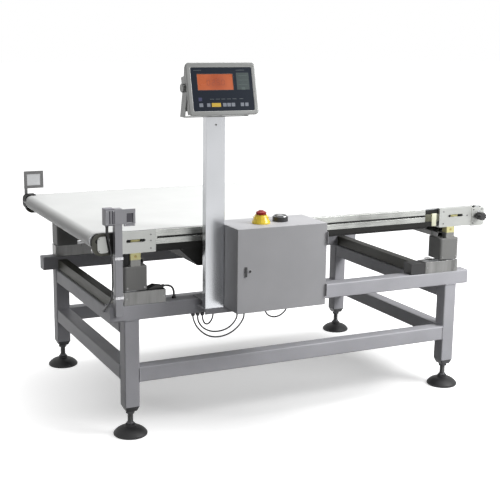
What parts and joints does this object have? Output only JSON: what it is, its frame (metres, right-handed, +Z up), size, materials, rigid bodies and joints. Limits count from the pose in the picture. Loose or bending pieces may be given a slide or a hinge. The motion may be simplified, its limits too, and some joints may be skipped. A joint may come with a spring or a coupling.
{
  "type": "conveyor belt scale",
  "caption": "Belt conveyor carried on load cell modules over a welded tube frame with levelling feet, with a tilting weight indicator on a column and a control cabinet.",
  "frame": {"origin": "on the floor, under the middle of the whole machine's box", "axes": "+X along the belt from the infeed (picture-eye) end to the outfeed end, +Y from the operator's side with the cabinet to the far side, +Z up"},
  "size_m": [1.7884, 1.2554, 1.4268],
  "materials": {
    "frame_paint": "satin",
    "cabinet_paint": "satin",
    "duct_steel": "brushed",
    "stainless": "brushed",
    "cover_steel": "satin",
    "shaft_steel": "ground",
    "cell_aluminium": "anodised",
    "profile_aluminium": "anodised",
    "dark_steel": "satin",
    "zinc_steel": "zinc plated",
    "black_rubber": "matt",
    "black_plastic": "matt",
    "yellow_plastic": "matt",
    "stop_yellow": "semi gloss",
    "stop_red": "semi gloss",
    "grey_plastic": "matt",
    "belt_white": "matt",
    "bed_steel": "brushed",
    "panel_dark": "gloss",
    "lcd_orange": "lit",
    "cable_black": "matt",
    "reflector": "prismatic",
    "indicator_steel": "brushed"
  },
  "bodies": {
    "machine": {"belt": "belt_white", "button_collar": "black_plastic", "cabinet_loop": "cable_black", "cabinet_shell": "cabinet_paint", "cable_ducts": "duct_steel", "cable_glands": "black_plastic", "carrier_bars": "stainless", "cell_lead": "cable_black", "column": "frame_paint", "column_lead": "cable_black", "control_devices": "grey_plastic", "coupling_blocks": "cover_steel", "cross_members": "shaft_steel", "drive_housing": "dark_steel", "end_plates": "stainless", "estop_shroud": "stop_yellow", "foot_fittings": "zinc_steel", "indicator_bracket": "indicator_steel", "inner_loop": "cable_black", "inner_rails": "dark_steel", "legs": "frame_paint", "load_cells": "cell_aluminium", "lower_long_rails": "frame_paint", "module_bases": "cover_steel", "module_covers": "cover_steel", "mounting_plate": "zinc_steel", "nose_caps": "black_plastic", "outer_loop": "cable_black", "reflector_panels": "reflector", "reflector_stand": "stainless", "sensor_head": "grey_plastic", "sensor_lead": "cable_black", "sensor_stand": "stainless", "side_profiles": "profile_aluminium", "side_rails": "frame_paint", "side_strips": "dark_steel", "slider_bed": "bed_steel", "support_tray": "frame_paint", "tail_blocks": "stainless", "top_rails": "frame_paint", "yellow_spacers": "yellow_plastic"},
    "foot_front_left_body": {"foot_front_left": "black_rubber"},
    "foot_front_right_body": {"foot_front_right": "black_rubber"},
    "foot_rear_left_body": {"foot_rear_left": "black_rubber"},
    "foot_rear_right_body": {"foot_rear_right": "black_rubber"},
    "drum": {"drive_drum": "shaft_steel"},
    "nose": {"nose_roller": "shaft_steel"},
    "tail": {"tail_roller": "shaft_steel"},
    "left_snub": {"left_snub_roller": "shaft_steel"},
    "right_snub": {"right_snub_roller": "shaft_steel"},
    "front_knob_body": {"front_knob": "black_plastic"},
    "rear_knob_body": {"rear_knob": "black_plastic"},
    "door": {"cabinet_door": "cabinet_paint", "door_seal": "black_rubber"},
    "lock": {"door_lock": "zinc_steel"},
    "estop": {"estop_head": "stop_red"},
    "button": {"button_cap": "grey_plastic"},
    "indicator": {"indicator_housing": "indicator_steel", "indicator_panel": "panel_dark", "indicator_lcd": "lcd_orange"}
  },
  "joints": [
    {"name": "foot_front_left_height", "type": "slide", "parent": "machine", "child": "foot_front_left_body", "axis": [0, 0, 1], "range_m": [-0.03, 0]},
    {"name": "foot_front_right_height", "type": "slide", "parent": "machine", "child": "foot_front_right_body", "axis": [0, 0, 1], "range_m": [-0.03, 0]},
    {"name": "foot_rear_left_height", "type": "slide", "parent": "machine", "child": "foot_rear_left_body", "axis": [0, 0, 1], "range_m": [-0.03, 0]},
    {"name": "foot_rear_right_height", "type": "slide", "parent": "machine", "child": "foot_rear_right_body", "axis": [0, 0, 1], "range_m": [-0.03, 0]},
    {"name": "drum_spin", "type": "hinge", "parent": "machine", "child": "drum", "pos_m": [-0.355, 0.08315, 0.712], "axis": [0, 1, 0], "continuous": true},
    {"name": "nose_roller_spin", "type": "hinge", "parent": "machine", "child": "nose", "pos_m": [-0.865, 0.08315, 0.778], "axis": [0, 1, 0], "continuous": true},
    {"name": "tail_roller_spin", "type": "hinge", "parent": "machine", "child": "tail", "pos_m": [0.865, 0.08315, 0.778], "axis": [0, 1, 0], "continuous": true},
    {"name": "left_snub_spin", "type": "hinge", "parent": "machine", "child": "left_snub", "pos_m": [-0.435, 0.08315, 0.7284], "axis": [0, 1, 0], "continuous": true},
    {"name": "right_snub_spin", "type": "hinge", "parent": "machine", "child": "right_snub", "pos_m": [-0.275, 0.08315, 0.7284], "axis": [0, 1, 0], "continuous": true},
    {"name": "front_knob_turn", "type": "hinge", "parent": "machine", "child": "front_knob_body", "pos_m": [0.857, -0.43685, 0.764], "axis": [0, -1, 0], "range_deg": [0, 360]},
    {"name": "rear_knob_turn", "type": "hinge", "parent": "machine", "child": "rear_knob_body", "pos_m": [0.857, 0.60315, 0.764], "axis": [0, 1, 0], "range_deg": [0, 360]},
    {"name": "cabinet_door_swing", "type": "hinge", "parent": "machine", "child": "door", "pos_m": [-0.0125, -0.608, 0.664], "axis": [0, 0, 1], "range_deg": [0, 120]},
    {"name": "door_lock_turn", "type": "hinge", "parent": "door", "child": "lock", "pos_m": [-0.359, -0.62185, 0.6625], "axis": [0, 1, 0], "range_deg": [0, 90]},
    {"name": "estop_press", "type": "slide", "parent": "machine", "child": "estop", "axis": [0, 0, 1], "range_m": [-0.004, 0], "stiffness_N_per_m": 2000, "springref_m": 0.002},
    {"name": "button_press", "type": "slide", "parent": "machine", "child": "button", "axis": [0, 0, 1], "range_m": [-0.003, 0], "stiffness_N_per_m": 1500, "springref_m": 0.002},
    {"name": "indicator_tilt", "type": "hinge", "parent": "machine", "child": "indicator", "pos_m": [-0.4315, -0.51528, 1.33576], "axis": [-1, 0, 0], "range_deg": [-14, 30]}
  ],
  "couplings": [
    {"joint": "nose_roller_spin", "follows": "drum_spin", "ratio": 1.6296},
    {"joint": "tail_roller_spin", "follows": "drum_spin", "ratio": 1.6296},
    {"joint": "left_snub_spin", "follows": "drum_spin", "ratio": -2.2},
    {"joint": "right_snub_spin", "follows": "drum_spin", "ratio": -2.2}
  ]
}
